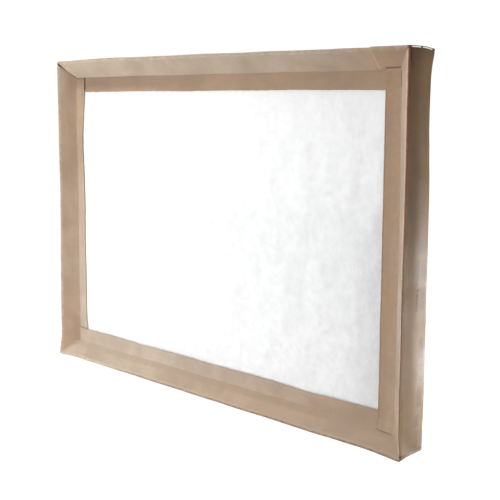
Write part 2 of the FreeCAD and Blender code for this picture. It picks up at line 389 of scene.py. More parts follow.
def shape_left(side, crease_inset):
    wander_edge(side, crease_inset, 5.8 * MM, 90 * MM, 1.6 * MM)
    depth = 21 * MM
    inner_edge = crease_inset + FLANGE
    nudge(side.verts, (-half_height + 34 * MM, depth, inner_edge), (0, 0, 7.4), (50, 8, 16))
    nudge(side.verts, (-half_height + 135 * MM, depth, inner_edge), (0, 0, -4.2), (42, 8, 16))
    nudge(free_points(side), (-half_height + 90 * MM, depth, crease_inset), (0, 0.4, -2.4), (62, 12, 14))
    nudge(free_points(side), (-half_height + 14 * MM, 10 * MM, 14 * MM), (0, 1.2, -0.4), (15, 9, 6))
    nudge(side.verts, (half_height - 47 * MM, depth, inner_edge), (0, 0, 4.5), (20, 8, 16))
    return nudge(free_points(side), (-half_height + 36 * MM, 20 * MM, 51 * MM), (0, -1.2, 0), (22, 3, 16))


def ride_up(points, along, lift, reach, crease_inset):
    """Lift the flange's end off the pad, and let the slope beside it follow a little."""
    for point in points:
        before_crease = max(crease_inset - point.co.z, 0.0) / SLOPE_SHARE
        point.co.y -= lift * math.exp(-((point.co.x - along) / reach) ** 2 - before_crease ** 2)


def tear_slits(side):
    """Cut the slits' outlines, and lines for the fold beside them, and mark the torn faces."""
    def is_upper_wall(face):
        centre = face.calc_center_median()
        return centre.z < TINY and centre.x > half_height - 6 * ALONG

    def is_slit_row(face):
        return is_upper_wall(face) and half_height - SLIT_HEIGHT < face.calc_center_median().x < half_height

    def is_below_slits(face):
        return is_upper_wall(face) and face.calc_center_median().x < half_height - SLIT_HEIGHT

    for along in (half_height - SLIT_HEIGHT, half_height):
        cut_through(side, is_upper_wall, (along, 0, 0), (1, 0, 0))
    for depth in DOUBLE_FOLD:
        cut_through(side, is_below_slits, (0, depth, 0), (0, 1, 0))
    for ends in SLITS:
        for slit_end in ends:
            cut_through(side, is_slit_row, (0, slit_end, 0), (0, 1, 0))
    torn = [face for face in side.faces if is_slit_row(face)
            and any(front < face.calc_center_median().y < back for front, back in SLITS)]
    for face in torn:
        face.material_index = TORN
    return len(torn)


def shape_right(side, crease_inset):
    wander_edge(side, crease_inset, -1.0 * MM, 110 * MM, 0.8 * MM)
    ride_up(front_points(side), -half_height + RIGHT_STOPS[0], 3.3 * MM, 7 * MM, crease_inset)
    ride_up(front_points(side), half_height - RIGHT_STOPS[1], 1.9 * MM, 5 * MM, crease_inset)
    nudge(front_points(side), (half_height - 8 * MM, 8 * MM, 13 * MM), (0, -1.7, 0), (26, 30, 10))
    return tear_slits(side)


SHAPING = {"top": shape_top, "left": shape_left, "bottom": shape_bottom, "right": shape_right}
print("slits run from", in_mm(SLITS[0]), "and", in_mm(SLITS[1]), "mm behind the rim")

# %% [markdown]
# Now the five runs of the strip are made and put round the opening. Each is lapped one step nearer
# to the front than the one before, as the wrapping order gives, so the right side ends up on top.
# Near each wrapped corner the wall gets a few lines closer together, so that it can roll there. The
# runs are gathered in one mesh, which a joined object in the editor would be too.

# %% Wrap the strip round the opening
strip = bmesh.new()
tab_rise = BOARD + TAB_GAP
tucked_end = -half_width + BOARD + TAB_GAP


def add_run(side, turn, place):
    """Turn a side about Y, move it to its place and add it to the strip."""
    bmesh.ops.transform(side, verts=side.verts[:],
                        matrix=Matrix.Translation(place) @ Matrix.Rotation(math.radians(turn), 4, "Y"))
    run = bpy.data.meshes.new("run")
    side.to_mesh(run)
    side.free()
    first = len(strip.verts)
    strip.from_mesh(run)
    bpy.data.meshes.remove(run)
    return first


# name, start, finish, laps, trim at the start, trim at the finish, turn about Y, place
RUNS = [
    ("top", tucked_end, half_width, 0, {}, {"over": 0.02}, 180, (0, FRONT, HEIGHT)),
    ("left", -half_height, half_height, 1,
     {"stop": square_stop(1, END_GAP), "behind": -3.8 * MM, "over": 0.09}, {}, 90,
     (-half_width, FRONT, half_height)),
    ("bottom", -half_width, half_width, 2, {"stop": square_stop(2, END_GAP), "over": 0.16},
     {"behind": 1.0 * MM}, 0, (0, FRONT, 0)),
    ("right", -half_height, half_height + tab_rise, 3, {"stop": RIGHT_STOPS[0]},
     {"stop": RIGHT_STOPS[1], "behind": 1.2 * MM}, -90, (half_width, FRONT, half_height)),
]
NEAR_CORNER = [1.2 * MM, 2.4 * MM, 3.7 * MM]
strip_position = 0.0


def is_wall(face):
    return face.calc_center_median().z < FOLD


for name, start, finish, laps, trim_start, trim_finish, turn, place in RUNS:
    crease_depth = RECESS - laps * LAP_STEP
    side, crease_inset = fold_side(start, finish, crease_depth)
    for step in NEAR_CORNER:
        if name != "top":
            cut_through(side, is_wall, (start + step, 0, 0), (1, 0, 0))
        if name != "right":
            cut_through(side, is_wall, (finish - step, 0, 0), (1, 0, 0))
    trim_end(side, start, -1, crease_depth, crease_inset, **trim_start)
    trim_end(side, finish, 1, crease_depth, crease_inset, **trim_finish)
    write_map(side, strip_position - start, FOLD, 0.0, crease_depth, crease_inset)
    shaped = SHAPING[name](side, crease_inset)
    right_first = add_run(side, turn, place)
    strip_position += finish - start
    print(name, "side added,", shaped, "places shaped,", len(strip.faces), "faces so far")

# %% [markdown]
# The tab is the last stretch of the strip. It has no flanges, lies a board's thickness outside the top
# wall and slope, and so folds at a larger radius. Its free end is cut on a slant. It is folded like
# any side, and the planes that trimmed the others trim it too.

# %% Add the glue tab
tab_fold = FOLD + tab_rise
tab_end_depth = RECESS - TAB_END_GAP
tab, tab_inset = fold_side(-half_width, -half_width + TAB_LENGTH, tab_end_depth, tab_fold, -tab_rise,
                           back_flange=False, flange=False)
cut_off(tab, lambda f: True, (-half_width, 0, 0), (-1.0, 0.0, 1.0))
slant = (tab_inset, 0.0, TAB_RIM_LENGTH - TAB_LENGTH)
rim_end = (-half_width + TAB_RIM_LENGTH, 0, 0)
cut_off(tab, lambda f: f.calc_center_median().z > TINY, rim_end, slant)
cut_off(tab, lambda f: f.calc_center_median().z <= TINY, rim_end, (1.0, 0.0, 0.0))
write_map(tab, strip_position + half_width, tab_fold, -tab_rise, tab_end_depth, tab_inset)
press_closing_end(tab)
tab_first = add_run(tab, 180, (0, FRONT, HEIGHT + tab_rise))
print("the strip is", round(strip_position + TAB_LENGTH, 3), "m long and has", len(strip.faces), "faces")

# %% [markdown]
# The runs are still apart where the real strip is unbroken. At three corners the neighbours' points
# lie on one diagonal, so merging by distance joins them. At the top right the tab's fold stands
# further out than the wall's, so there each point of the wall is welded to its partner on the tab.

# %% Weld the wrapped corners
def corner_points(points, x, z, fold):
    """Points of the wall and of the folds beside it on a corner's diagonal, from the rim backward."""
    found = []
    for point in points:
        inset_x = abs(x - point.co.x)
        inset_z = abs(z - point.co.z)
        if abs(inset_x - inset_z) < TINY and inset_x < fold + TINY:
            found.append(point)
    found.sort(key=lambda point: (point.co.y, -round(abs(x - point.co.x) / TINY)))
    return found


strip.verts.ensure_lookup_table()
top_right = (half_width, HEIGHT + tab_rise)
right_end = corner_points(strip.verts[right_first:tab_first], *top_right, FOLD)
tab_end = corner_points(strip.verts[tab_first:], *top_right, tab_fold)
bmesh.ops.weld_verts(strip, targetmap=dict(zip(right_end, tab_end)))
print("top right corner:", len(tab_end), "points of the tab welded to", len(right_end), "of the wall")
for x, z in ((-half_width, HEIGHT), (-half_width, 0.0), (half_width, 0.0)):
    found = corner_points(strip.verts, x, z, FOLD)
    before = len(strip.verts)
    bmesh.ops.remove_doubles(strip, verts=found, dist=2 * TINY)
    welded = before - len(strip.verts)
    print("corner", in_mm((x, z)), "has", len(found), "points, and", welded, "were welded")
bmesh.ops.dissolve_degenerate(strip, dist=TINY / 2, edges=strip.edges[:])

# %% [markdown]
# Where the strip wraps round a corner it can't make a knife edge: the wall rolls over with a small
# radius. The points near the corner are moved onto arcs about one centre, so that the rim, the wall
# and the fold between them roll together. At the bottom right the scored line missed the corner, so
# there the roll is larger and stands as a bead under the end of the wall, below a shallow groove.

# %% Roll the wrapped corners
def roll_corner(points, x, z, radius):
    """Move the points of a square corner onto quarter arcs about one centre."""
    rolled = 0
    towards = (1.0 if x < 0 else -1.0, 1.0 if z < half_height else -1.0)
    for point in points:
        across = (point.co.x - x) * towards[0]
        up = (point.co.z - z) * towards[1]
        if not (-TINY < across < radius and -TINY < up < radius):
            continue
        shallow, along = min(across, up), max(across, up)
        arm = radius - shallow
        turn = (1.0 - (along - shallow) / arm) * math.pi / 4
        along, shallow = radius - arm * math.sin(turn), radius - arm * math.cos(turn)
        across, up = (along, shallow) if across > up else (shallow, along)
        point.co.x = x + across * towards[0]
        point.co.z = z + up * towards[1]
        rolled += 1
    return rolled


# corner, radius in millimetres
ROLLS = [(-half_width, HEIGHT, 1.8), (-half_width, 0.0, 1.8), (half_width, 0.0, 3.9)]
for x, z, radius in ROLLS:
    rolled = roll_corner(strip.verts, x, z, radius * MM)
    print("corner", in_mm((x, z)), "rolled at", radius, "mm:", rolled, "points")

# %% [markdown]
# A real frame of this kind has been handled. In the photograph the lower corners kick outward, the
# back of the top right corner flares behind the closing fold, and the tall right wall bulges a little
# while its back edge is drawn in. Each of these is one pull on the whole strip. Last comes a small
# ripple from a noise field, so that no fold line and no cut edge is ruler straight. Noise vectors
# start from the clock unless they are given a seed, so a seed keeps the ripple the same each time.

# %% Bend the whole frame
left, right, top, bottom = -half_width, half_width, HEIGHT, 0.0
# what it is, place in metres, move and reach in millimetres
BENDS = [
    ("lower left corner kicks out", (left, FRONT, bottom), (-2.0, -3.4, -0.9), (26, 14, 24)),
    ("lower right corner kicks out", (right, FRONT, bottom), (3.6, 0.4, -2.8), (30, 14, 22)),
    ("bead stands out", (right, FRONT + 0.014, bottom + 0.0025), (0.9, 0, -0.3), (5, 18, 2.4)),
    ("groove above the bead", (right, FRONT + 0.016, bottom + 0.0062), (-1.5, 0, 0), (3, 22, 2.0)),
    ("back of the top right corner flares", (right, BACK, top), (2.2, 1.6, -2.4), (28, 12, 20)),
    ("back edge of the right wall is drawn in", (right, BACK, 0.86 * top), (-2.2, -2.0, 0), (40, 30, 75)),
    ("groove beside the closing fold", (right, FRONT + 0.0048, top - 0.012), (-0.9, 0, 0), (5, 1.0, 13)),
    ("ridge beside the closing fold", (right, FRONT + 0.0064, top - 0.012), (0.5, 0, 0), (5, 0.9, 12)),
    ("left rim leans in", (left, FRONT + 0.004, 0.25), (2.5, 0, 0), (9, 14, 120)),
    ("right wall bulges", (right, 0, 0.5 * top), (2.3, 0, 0), (14, 16, 290)),
    ("right rim bulges", (right, FRONT, 0.8 * top), (0.8, 0, 0), (20, 14, 80)),
    ("right crease moves outward", (right - 0.023, FRONT + 0.019, 0.5 * top), (1.3, 0, 0), (12, 14, 200)),
    ("left rim leans out at the bottom", (left, FRONT, 0.25 * top), (-1.2, -0.6, 0), (25, 20, 130)),
    ("top rim rises", (left + 0.13, FRONT, top), (0, 0, 1.4), (70, 14, 16)),
    ("top rim rises in the middle", (left + 0.30, FRONT, top), (0, 0, 1.4), (260, 14, 16)),
    ("top slope and flange rise", (0, FRONT + 0.018, top - 0.024), (0, 0, 1.6), (460, 40, 44)),
    ("bottom rim sags", (0, FRONT, bottom), (0, 0, -0.4), (300, 30, 10)),
    ("back of the top wall sags", (0, BACK, top), (0, -0.8, -1.6), (260, 24, 30)),
    ("back of the left wall is drawn in", (left, BACK, half_height), (1.4, -0.8, 0), (30, 24, 160)),
]
RIPPLES = [(70 * MM, 0.55 * MM), (22 * MM, 0.22 * MM), (9 * MM, 0.08 * MM)]
RIPPLE_SEED = 5
noise.seed_set(RIPPLE_SEED)


def ripple(points, ripples):
    """Move every point by smooth noise, one octave for each wavelength and height."""
    for point in points:
        still = point.co.copy()
        for wavelength, height in ripples:
            point.co += noise.noise_vector(still / wavelength) * height


def bend(points):
    """All the bends in turn, then the ripple."""
    for what, place, move, reach in BENDS:
        print(what + ":", nudge(points, place, move, reach), "points moved by more than half")
    ripple(points, RIPPLES)


bend(strip.verts)

# %% [markdown]
# So far the strip is a sheet with no thickness. Solidify gives it the board's thickness inward, with
# even offset so that the folds keep it, and gives the new cut edges a material of their own, because
# the inside of the board is paler than its skin. The result is baked into the mesh, and folds that
# turn by more than a small angle from one face to the next are marked sharp.

# %% Give the strip its thickness
SHARP_TURN = math.radians(40)


def finish_mesh(piece, sharp_turn):
    """Bake the piece's modifiers into its mesh and shade it smooth between sharp edges."""
    graph = bpy.context.evaluated_depsgraph_get()
    baked = bpy.data.meshes.new_from_object(piece.evaluated_get(graph))
    piece.modifiers.clear()
    piece.data = baked
    baked.shade_smooth()
    baked.set_sharp_from_angle(angle=sharp_turn)
    return len(baked.polygons)


mesh = bpy.data.meshes.new("board_frame_folded")
strip.to_mesh(mesh)
strip.free()
board = bpy.data.objects.new("board_frame_folded", mesh)
bpy.context.scene.collection.objects.link(board)
kraft = bpy.data.materials.new("kraft board")
raw_edge = bpy.data.materials.new("raw board edge")
torn_core = bpy.data.materials.new("torn board core")
for material in (kraft, raw_edge, torn_core):
    mesh.materials.append(material)
thickness = board.modifiers.new("board thickness", "SOLIDIFY")
thickness.thickness = BOARD
thickness.offset = -1.0
thickness.use_even_offset = True
thickness.material_offset_rim = 1
print("the folded board has", finish_mesh(board, SHARP_TURN), "faces")
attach(board, "root")
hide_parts("board_frame")

# %% [markdown]
# The pad is a batt of loose polyester fibres. It fills the channel behind the flanges and swells a
# little where nothing holds it, at the front and at the back. It starts as a closed block with
# rounded upright corners, a little smaller than the channel. Planes cut it into a grid, because a
# cloth needs many small faces to fold softly.

# %% Block out the pad
pad_low, pad_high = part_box("filter_pad")
PAD_FRONT = FRONT + 23.1 * MM
PAD_CORNER = 6.0 * MM
PAD_CELL = 12.0 * MM
PAD_SLACK = 1.2 * MM
pad_size = Vector((pad_high.x - pad_low.x - 2 * PAD_SLACK, pad_high.y - PAD_FRONT,
                   pad_high.z - pad_low.z - 2 * PAD_SLACK))
pad_middle = Vector((0.0, (pad_high.y + PAD_FRONT) / 2, (pad_high.z + pad_low.z) / 2))

batt = bmesh.new()
block = Matrix.Translation(pad_middle) @ Matrix.Diagonal((*pad_size, 1.0))
bmesh.ops.create_cube(batt, size=1.0, matrix=block)
upright = [e for e in batt.edges if abs(e.verts[0].co.y - e.verts[1].co.y) > TINY]
bmesh.ops.bevel(batt, geom=upright, offset=PAD_CORNER, offset_type="OFFSET", affect="EDGES",
                segments=3, profile=0.5, material=-1)


def slice_grid(bm, axis, low, high, cell):
    """Cut the whole mesh by evenly spaced planes across one axis."""
    normal = Vector((0, 0, 0))
    normal[axis] = 1.0
    count = round((high - low) / cell)
    for step in range(1, count):
        place = normal * (low + (high - low) * step / count)
        bmesh.ops.bisect_plane(bm, geom=[*bm.verts, *bm.edges, *bm.faces], dist=TINY,
                               plane_co=place, plane_no=normal)
    return count


columns = slice_grid(batt, 0, pad_low.x, pad_high.x, PAD_CELL)
rows = slice_grid(batt, 2, pad_low.z, pad_high.z, PAD_CELL)
layers = slice_grid(batt, 1, PAD_FRONT, pad_high.y, PAD_CELL)
print("pad block cut into", columns, "by", rows, "by", layers, "cells")

# %% [markdown]
# A formula or a sculpted bulge would miss the soft fall of the pad at the flanges. So the block
# becomes a cloth with a light pressure inside, and the border that the flanges hold stays pinned. A
# few frames fill it. Then each point's move is capped, softly, so that the pad stays near its block.

# %% Blow the pad up
SWELL_FRAMES = 16
SWELL_MOST = 2.6 * MM
SWELL_PRESSURE = 4.0
held_inset = slope_inset(RECESS, FOLD, 0.0) + FLANGE
pad_mesh = bpy.data.meshes.new("filter_pad_fleece")
batt.to_mesh(pad_mesh)
batt.free()
pad = bpy.data.objects.new("filter_pad_fleece", pad_mesh)
bpy.context.scene.collection.objects.link(pad)


def pad_opening_depth(place):
    """How far a point of the pad lies inside the front opening, negative under the flanges."""
    across = min(place.x + half_width, half_width - place.x)
    up = min(place.z, HEIGHT - place.z)
    return min(across, up) - held_inset


def swell(piece):
    """Cloth with pressure, pinned under the flanges, then capped so that it stays near the block."""
    still = [v.co.copy() for v in piece.data.vertices]
    held = piece.vertex_groups.new(name="held")
    held.add([v.index for v in piece.data.vertices if pad_opening_depth(v.co) < 0], 1.0, "REPLACE")
    cloth = piece.modifiers.new("cloth", "CLOTH")
    cloth.settings.vertex_group_mass = "held"
    cloth.settings.use_pressure = True
    cloth.settings.uniform_pressure_force = SWELL_PRESSURE
    cloth.settings.effector_weights.gravity = 0.0
    scene = bpy.context.scene
    for step in range(1, SWELL_FRAMES + 1):
        scene.frame_set(step)
    finish_mesh(piece, math.pi)
    scene.frame_set(1)
    most = 0.0
    for vertex, start in zip(piece.data.vertices, still):
        move = vertex.co - start
        most = max(most, move.length)
        if move.length > 0:
            vertex.co = start + move * (SWELL_MOST / (SWELL_MOST + move.length))
    piece.vertex_groups.clear()
    return most


print("the simulated pad swells by", round(swell(pad) / MM, 1), "mm before the cap")

# %% [markdown]
# The pad goes through the same bends as the frame, so that it still fits in it. Subdivision then makes
# its faces small enough for the unevenness of loose fibre: three sizes of noise, which fade out where
# the flanges press on it. At the left end it is squeezed out more, up to the flange's cut edge.

# %% Rough the pad's surface
SQUEEZED_OUT = 0.9 * MM
SQUEEZED_END = -300 * MM
UNDER_FLANGE = 11 * MM
PAD_FADE = 8 * MM
FLUFF = [(34 * MM, 1.0 * MM), (13 * MM, 0.5 * MM), (5.5 * MM, 0.28 * MM)]


def rough(points):
    """Move the points out or in by noise, and squeeze the left end out past the flange's edge."""
    for point in points:
        depth = pad_opening_depth(point.co)
        facing = 1.0 if point.co.y > (PAD_FRONT + pad_high.y) / 2 else -1.0
        inside = min(max(depth / PAD_FADE, 0.0), 1.0)
        squeezed = 0.0
        if point.co.x <= SQUEEZED_END:
            squeezed = min(max((depth + UNDER_FLANGE) / PAD_FADE, 0.0), 1.0) * SQUEEZED_OUT
        height = sum(noise.noise(point.co / wavelength) * rise for wavelength, rise in FLUFF)
        point.co.y += facing * (inside * height + squeezed)


bend(pad.data.vertices)
smooth = pad.modifiers.new("smooth", "SUBSURF")
smooth.levels = 2
smooth.render_levels = 2
finish_mesh(pad, math.pi)
rough(pad.data.vertices)
print("pad has", len(pad.data.polygons), "faces")
fleece = bpy.data.materials.new("white polyester")
pad.data.materials.append(fleece)
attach(pad, "root")
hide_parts("filter_pad")

# %% [markdown]
# The finishes come next. Each is a procedural material, and what two of them share, such as the
# grain of the fibres, is a node group with named sockets. Nodes are wordy in code, so small helpers
# come first. One adds a node and its links, and the others wrap what is used most: a sum, a product
# of masks, a smooth ramp, noise of a given size, a blend and a tint of colours, a new group, and the
# last step of every material, which feeds colour, roughness and bump to its surface.

# %% Helpers for nodes
def node(tree, kind, feeds=None, **settings):
    """Add a shader node: settings are its own choices, feeds are values or links for its inputs."""
    made = tree.nodes.new("ShaderNode" + kind)
    for name, value in settings.items():
        setattr(made, name, value)
    for name, value in (feeds or {}).items():
        if isinstance(value, bpy.types.NodeSocket):
            tree.links.new(value, made.inputs[name])
        else:
            made.inputs[name].default_value = value
    return made


def maths(tree, operation, first, second=0.0, clamp=False):
    return node(tree, "Math", {0: first, 1: second}, operation=operation, use_clamp=clamp).outputs[0]


def times(tree, first, *others):
    """The product of masks or numbers."""
    for other in others:
        first = maths(tree, "MULTIPLY", first, other)
    return first


def ramp(tree, value, low, high, start=0.0, finish=1.0):
    """Go smoothly from start to finish while the value goes from low to high."""
    feeds = {"Value": value, "From Min": low, "From Max": high, "To Min": start, "To Max": finish}
    return node(tree, "MapRange", feeds, interpolation_type="SMOOTHSTEP").outputs["Result"]


def blend(tree, share, first, second):
    return node(tree, "Mix", {0: share, 6: first, 7: second}, data_type="RGBA").outputs[2]


def fine_noise(tree, place, size, detail=2.0, distortion=0.0):
    """Noise whose lumps are about as large as the size, in metres."""
    feeds = {"Vector": place, "Scale": 1 / size, "Detail": detail, "Distortion": distortion}
    return node(tree, "TexNoise", feeds).outputs["Fac"]


def tint(tree, share, colour, factor):
    """Multiply a colour by a factor, which keeps its grain."""
    feeds = {0: share, 6: colour, 7: (*factor, 1.0)}
    return node(tree, "Mix", feeds, data_type="RGBA", blend_type="MULTIPLY").outputs[2]


def new_group(name, takes, gives):
    """A node group: takes maps input names to default values, gives lists output names."""
    tree = bpy.data.node_groups.new(name, "ShaderNodeTree")
    for socket, default in takes.items():
        kind = "NodeSocketVector" if isinstance(default, tuple) else "NodeSocketFloat"
        tree.interface.new_socket(socket, in_out="INPUT", socket_type=kind).default_value = default
    for socket in gives:
        tree.interface.new_socket(socket, in_out="OUTPUT", socket_type="NodeSocketFloat")
    return tree, tree.nodes.new("NodeGroupInput").outputs, tree.nodes.new("NodeGroupOutput").inputs


def open_tree(material):
    material.use_nodes = True
    return material.node_tree


def surface(tree, colour, roughness, height, distance, strength):
    """Feed colour, roughness and a bump to the material's own shader, and return the shader."""
    shader = tree.nodes["Principled BSDF"]
    lift = node(tree, "Bump", {"Height": height, "Distance": distance, "Strength": strength})
    tree.links.new(colour, shader.inputs["Base Color"])
    tree.links.new(roughness, shader.inputs["Roughness"])
    tree.links.new(lift.outputs["Normal"], shader.inputs["Normal"])
    return shader


FROM_STRIP_AND_ROOM = {"Strip": (0.0, 0.0, 0.0), "Place": (0.0, 0.0, 0.0)}
print("groups on the board take", " and ".join(FROM_STRIP_AND_ROOM))

# %% [markdown]
# Brown board is pressed from long wood fibres that lie mostly along the strip as it left the mill.
# Near to, that shows as short streaks, a few dark flecks and a faint nap. From further off it shows
# as clouds, where the fibres lie thicker. The group below gives all four. The streaks are stretched
# along the strip by its own map, so they turn each corner with the board.

# %% Grain of the board
def fibre_group():
    gives = ["Cloud", "Streak", "Fleck", "Height"]
    tree, taken, given = new_group("board fibres", FROM_STRIP_AND_ROOM, gives)
    stretched = node(tree, "Mapping", {"Vector": taken["Strip"], "Scale": (0.16, 1.0, 1.0)}).outputs[0]
    cloud = fine_noise(tree, taken["Place"], 55 * MM, 4.0, 0.4)
    streak = fine_noise(tree, stretched, 1.1 * MM, 3.0, 0.6)
    wide_streak = fine_noise(tree, stretched, 5.0 * MM, 2.0)
    fleck = fine_noise(tree, taken["Strip"], 2.6 * MM, 1.0)
    nap = fine_noise(tree, taken["Strip"], 0.7 * MM, 2.0)
    both = maths(tree, "ADD", times(tree, streak, 0.6), times(tree, wide_streak, 0.4))
    height = maths(tree, "ADD", times(tree, streak, 0.7), times(tree, nap, 0.3))
    tree.links.new(ramp(tree, cloud, 0.35, 0.65), given["Cloud"])
    tree.links.new(ramp(tree, both, 0.35, 0.65), given["Streak"])
    tree.links.new(ramp(tree, fleck, 0.72, 0.78), given["Fleck"])
    tree.links.new(height, given["Height"])
    return tree


board_fibres = fibre_group()
print("board fibres has", len(board_fibres.nodes), "nodes")

# %% [markdown]
# Where board is folded its skin is stretched and rubbed. The long front fold and the back fold of the real
# frame show a broken orange-brown line, and beside it the rim is pale, partly scuffed and partly a painted
# highlight. A line group takes the distance across the strip and gives a mask round one fold. The same mask
# also lays painted shade and highlights along creases and cut ends. Noise moves the line a little and
# breaks it up, because rubbing is never even.

# %% Lines of wear and painted shade along a fold
def fold_group():
    tree, taken, given = new_group(
        "fold line", {"Strip": (0.0, 0.0, 0.0), "Line": 0.0, "Width": 1.5 * MM, "Break": 0.5}, ["Mask"])
    across = node(tree, "SeparateXYZ", {"Vector": taken["Strip"]}).outputs["Y"]
    wander = maths(tree, "SUBTRACT", fine_noise(tree, taken["Strip"], 14 * MM, 3.0), 0.5)
    near_line = maths(tree, "SUBTRACT", across, taken["Line"])
    moved = maths(tree, "ADD", near_line, times(tree, wander, 3.0 * MM))
    away = maths(tree, "DIVIDE", maths(tree, "ABSOLUTE", moved), taken["Width"])
    line = ramp(tree, away, 1.0, 0.25)
    patches = ramp(tree, fine_noise(tree, taken["Strip"], 9 * MM, 3.0, 0.5), 0.38, 0.62)
    kept = maths(tree, "SUBTRACT", 1.0, times(tree, patches, taken["Break"]))
    tree.links.new(maths(tree, "MULTIPLY", line, kept, True), given["Mask"])
    return tree


fold_line = fold_group()
print("fold line has", len(fold_line.nodes), "nodes")

# %% [markdown]
# The right wall carries a rubbed print in a thin grey-blue ink. Here it is kept generic: plain
# bars, a few fine lines and one plain shape, at the size and weight that such a print has. Each
# mark is a rectangle on the strip's own map. A group makes one, splits it into lines if asked, and
# lets the fibres show through where the ink is worn.

# %% One printed mark
def mark_group():
    takes = {"Strip": (0.0, 0.0, 0.0), "Along": 0.0, "Across": 0.0, "Length": 0.02, "Breadth": 0.01,
             "Lines": 1.0}
    tree, taken, given = new_group("printed mark", takes, ["Mask"])
    place = node(tree, "SeparateXYZ", {"Vector": taken["Strip"]}).outputs
    sides = []
    for axis, middle, size in (("X", "Along", "Length"), ("Y", "Across", "Breadth")):
        away = maths(tree, "ABSOLUTE", maths(tree, "SUBTRACT", place[axis], taken[middle]))
        over = maths(tree, "SUBTRACT", away, times(tree, taken[size], 0.5))
        sides.append(ramp(tree, over, 0.4 * MM, -0.4 * MM))
    from_middle = maths(tree, "SUBTRACT", place["Y"], taken["Across"])
    share = maths(tree, "ADD", maths(tree, "DIVIDE", from_middle, taken["Breadth"]), 0.5)
    line = maths(tree, "PINGPONG", times(tree, share, taken["Lines"]), 0.5)
    is_plain = maths(tree, "LESS_THAN", taken["Lines"], 1.5)
    lined = maths(tree, "MAXIMUM", ramp(tree, line, 0.12, 0.22), is_plain)
    tree.links.new(maths(tree, "MULTIPLY", times(tree, *sides), lined, True), given["Mask"])
    return tree


printed_mark = mark_group()
print("printed mark has", len(printed_mark.nodes), "nodes")

# %% [markdown]
# One frame isn't one brown. Towards the lower left the board is painted paler and bluer, nearly cream: a
# painted highlight where the light falls strongest. The slopes are painted a little lighter and greyer, a
# painted reflection of the white room, and the flanges behind them warmer and darker, painted shade in the
# recess. The right wall is the warmest. Its top and upper front are painted darker and its foot paler:
# painted shade, and painted light from the floor. Some wear and painted shade belongs to one fold, one
# flange or the tab alone. Painting all this by hand would need a picture, so a group turns the two places,
# on the strip and in the room, into a soft mask for each zone. First come the places on the strip where one
# run ends and the next begins.

# %% Places on the strip
WALL_TOP = strip_position
WALL_FOOT = WALL_TOP - HEIGHT - tab_rise
BOTTOM_START = WALL_FOOT - WIDTH
LEFT_START = BOTTOM_START - HEIGHT
FLANGE_END = WALL_TOP - tab_rise - RIGHT_STOPS[1]
print("left run from", round(LEFT_START, 3), "bottom from", round(BOTTOM_START, 3), "right from",
      round(WALL_FOOT, 3), "to", round(WALL_TOP, 3), "m along the strip")


# %% Zones of the board
def zone_masks(tree, strip_map, room):
    """The mask of each zone. Later ones are made of the ones above them."""
    on_strip = node(tree, "SeparateXYZ", {"Vector": strip_map}).outputs
    in_room = node(tree, "SeparateXYZ", {"Vector": room}).outputs

    def along(axis, start, stop):
        return ramp(tree, in_room[axis], start, stop)

    def run(start, stop):
        return ramp(tree, on_strip["X"], start, stop)

    def across(start, stop):
        return ramp(tree, on_strip["Y"], start, stop)

    def both(*masks):
        return times(tree, *masks)

    # painted highlight: a mask that grows towards the lower left, where the light falls strongest
    to_corner = maths(tree, "ADD", in_room["X"], times(tree, in_room["Z"], 0.9))
    lit_corner = ramp(tree, to_corner, 0.20, -0.30)
    away_from_lit_corner = maths(tree, "SUBTRACT", 1.0, lit_corner)
    flange = across(CREASE_ACROSS - 0.4 * MM, CREASE_ACROSS + 0.4 * MM)
    slope = maths(tree, "SUBTRACT", across(-0.5 * MM, 2.0 * MM), flange)
    left_slope = both(slope, run(LEFT_START - 1 * MM, LEFT_START), run(BOTTOM_START + 1 * MM, BOTTOM_START))
    right_slope = both(slope, along("X", 0.345, 0.355))
    right_flange = both(flange, along("X", 0.32, 0.33))
    right_wall = both(along("X", 0.36, 0.37), across(0.0, -2.0 * MM))
    right_folds = both(along("X", 0.364, 0.370), run(WALL_FOOT - 1 * MM, WALL_FOOT),
                       run(WALL_TOP + 2.0 * MM, WALL_TOP + 1.4 * MM))
    return {
        "Painted light lower left": lit_corner,
        "Left slope": left_slope,
        "Corner shade": both(left_slope, along("Z", 0.42, 0.475), across(6 * MM, 24 * MM)),
        "Lower corner": both(left_slope, along("Z", 0.16, 0.07)),
        "Long slopes": both(slope, away_from_lit_corner, along("Z", 0.40, 0.47), along("X", 0.34, 0.18)),
        "Right slope": both(right_slope, along("Z", 0.01, 0.05)),
        "Slope middle": both(right_slope, along("Z", 0.05, 0.18), along("Z", 0.44, 0.32)),
        "Flanges": both(flange, away_from_lit_corner, along("Z", 0.05, 0.25)),
        "Shaded flange": both(flange, along("Z", 0.455, 0.465), along("X", 0.05, -0.25)),
        "Left flange": both(flange, along("X", -0.320, -0.325)),
        "Right flange": right_flange,
        "Right flange edge": both(right_flange, along("Z", 0.458, 0.452)),
        "Bottom flange": both(flange, along("Z", 0.060, 0.055), along("X", -0.35, -0.05),
                              along("X", 0.30, 0.12)),
        "Wall": right_wall,
        # painted shade on the upper wall and its upper front, painted floor light at its foot
        "Upper wall": both(right_wall, along("Z", 0.05, 0.30)),
        "Pale foot": both(right_wall, along("Z", 0.20, 0.08), across(-28 * MM, -42 * MM)),
        "Painted shade wall front": both(right_wall, along("Z", 0.20, 0.33), across(-42 * MM, -8 * MM)),
        "Right folds": right_folds,
        "Upper right fold": both(right_folds, along("Z", 0.21, 0.28)),
        "Lower rim": both(along("X", -0.30, -0.15), along("Z", 0.008, 0.004)),
        "Lower slope": both(slope, along("Z", 0.06, 0.05)),
        "Slopes": slope,
        "Tab": run(WALL_TOP + 0.5 * MM, WALL_TOP + 1.5 * MM),
        "Beside the tab": both(run(WALL_TOP - 50 * MM, WALL_TOP - 46 * MM),
                               run(WALL_TOP - 26 * MM, WALL_TOP - 29 * MM)),
    }


